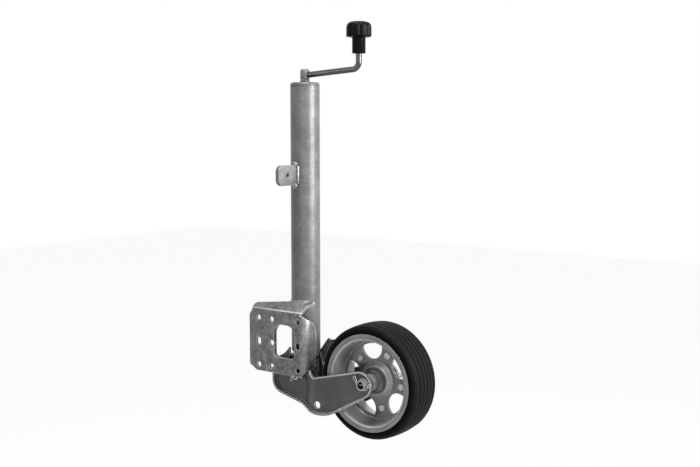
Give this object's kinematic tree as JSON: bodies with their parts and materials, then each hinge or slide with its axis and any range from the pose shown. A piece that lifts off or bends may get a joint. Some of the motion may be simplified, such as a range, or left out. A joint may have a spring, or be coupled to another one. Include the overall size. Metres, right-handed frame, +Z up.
{
  "type": "folding jockey wheel",
  "caption": "Crank-operated jockey wheel with a bolt-on bracket plate, a telescopic tube and a pressed fork that folds its solid-tyred wheel up beside the tube.",
  "frame": {"origin": "middle of the bracket's four outer bolt holes, on its mounting face", "axes": "+Z up along the tube, -Y out of the mounting face towards the drawbar, +X towards the folded wheel"},
  "size_m": [0.4141, 0.1515, 0.8233],
  "materials": {
    "zinc_tube": "satin zinc plate",
    "galvanised": "mottled hot-dip galvanising",
    "pressed_zinc": "smooth dark grey coated steel sheet",
    "rim_steel": "satin silver-grey",
    "bright_steel": "bright zinc-plated steel",
    "dark_casting": "dark, faintly rough",
    "tyre_rubber": "solid rubber, matt",
    "black_plastic": "satin black",
    "slide_plastic": "black nylon",
    "buffer_rubber": "matt black",
    "nut_bronze": "machined bronze"
  },
  "bodies": {
    "outer_frame": {"outer_tube": "zinc_tube", "top_cap": "zinc_tube", "lower_guide_bush": "slide_plastic", "thrust_race_upper": "bright_steel", "side_lug": "galvanised", "lug_welds": "zinc_tube", "mounting_bracket": "galvanised", "bracket_welds": "zinc_tube"},
    "crank_shaft": {"thrust_race_lower": "bright_steel", "thrust_balls": "bright_steel", "spindle": "bright_steel", "crank_head": "bright_steel", "head_pin": "bright_steel", "crank_handle": "bright_steel", "knob_retainer": "bright_steel"},
    "knob": {"knob_grip": "black_plastic"},
    "inner_leg": {"inner_tube": "zinc_tube", "spindle_nut": "nut_bronze", "slide_ring": "slide_plastic", "stop_collar": "bright_steel", "rubber_buffer": "buffer_rubber", "fork_head": "dark_casting"},
    "fork": {"fork_cheek_near": "pressed_zinc", "fork_cheek_far": "pressed_zinc", "cheek_plugs": "black_plastic", "fork_web": "pressed_zinc", "stop_plate": "pressed_zinc", "fork_pivot_pin": "bright_steel", "pivot_washers": "bright_steel", "pivot_split_pins": "bright_steel", "axle_tube": "bright_steel", "axle_washers": "bright_steel", "axle_split_pins": "bright_steel", "hub_spacers": "bright_steel"},
    "wheel": {"hub_tube": "rim_steel", "hub_bushes": "black_plastic", "rim_half_near": "rim_steel", "rim_half_far": "rim_steel", "rim_rivets": "rim_steel", "tyre": "tyre_rubber"}
  },
  "joints": [
    {"name": "crank_turn", "type": "hinge", "parent": "outer_frame", "child": "crank_shaft", "pos_m": [0.0385, 0.045, 0.54], "axis": [0, 0, -1], "range_deg": [0, 17280]},
    {"name": "knob_spin", "type": "hinge", "parent": "crank_shaft", "child": "knob", "pos_m": [0.173, 0.045, 0.62], "axis": [0, 0, 1], "continuous": true},
    {"name": "leg_slide", "type": "slide", "parent": "outer_frame", "child": "inner_leg", "axis": [0, 0, -1], "range_m": [0, 0.24]},
    {"name": "fork_fold", "type": "hinge", "parent": "inner_leg", "child": "fork", "pos_m": [0.0385, 0.045, -0.0643], "axis": [0, 1, 0], "range_deg": [0, 70]},
    {"name": "wheel_spin", "type": "hinge", "parent": "fork", "child": "wheel", "pos_m": [0.2211, 0.045, -0.0523], "axis": [0, 1, 0], "continuous": true}
  ],
  "couplings": [
    {"joint": "leg_slide", "follows": "crank_turn", "m_per_rad": 0.00079577},
    {"joint": "fork_fold", "follows": "crank_turn", "ratio": 0.0040509}
  ]
}
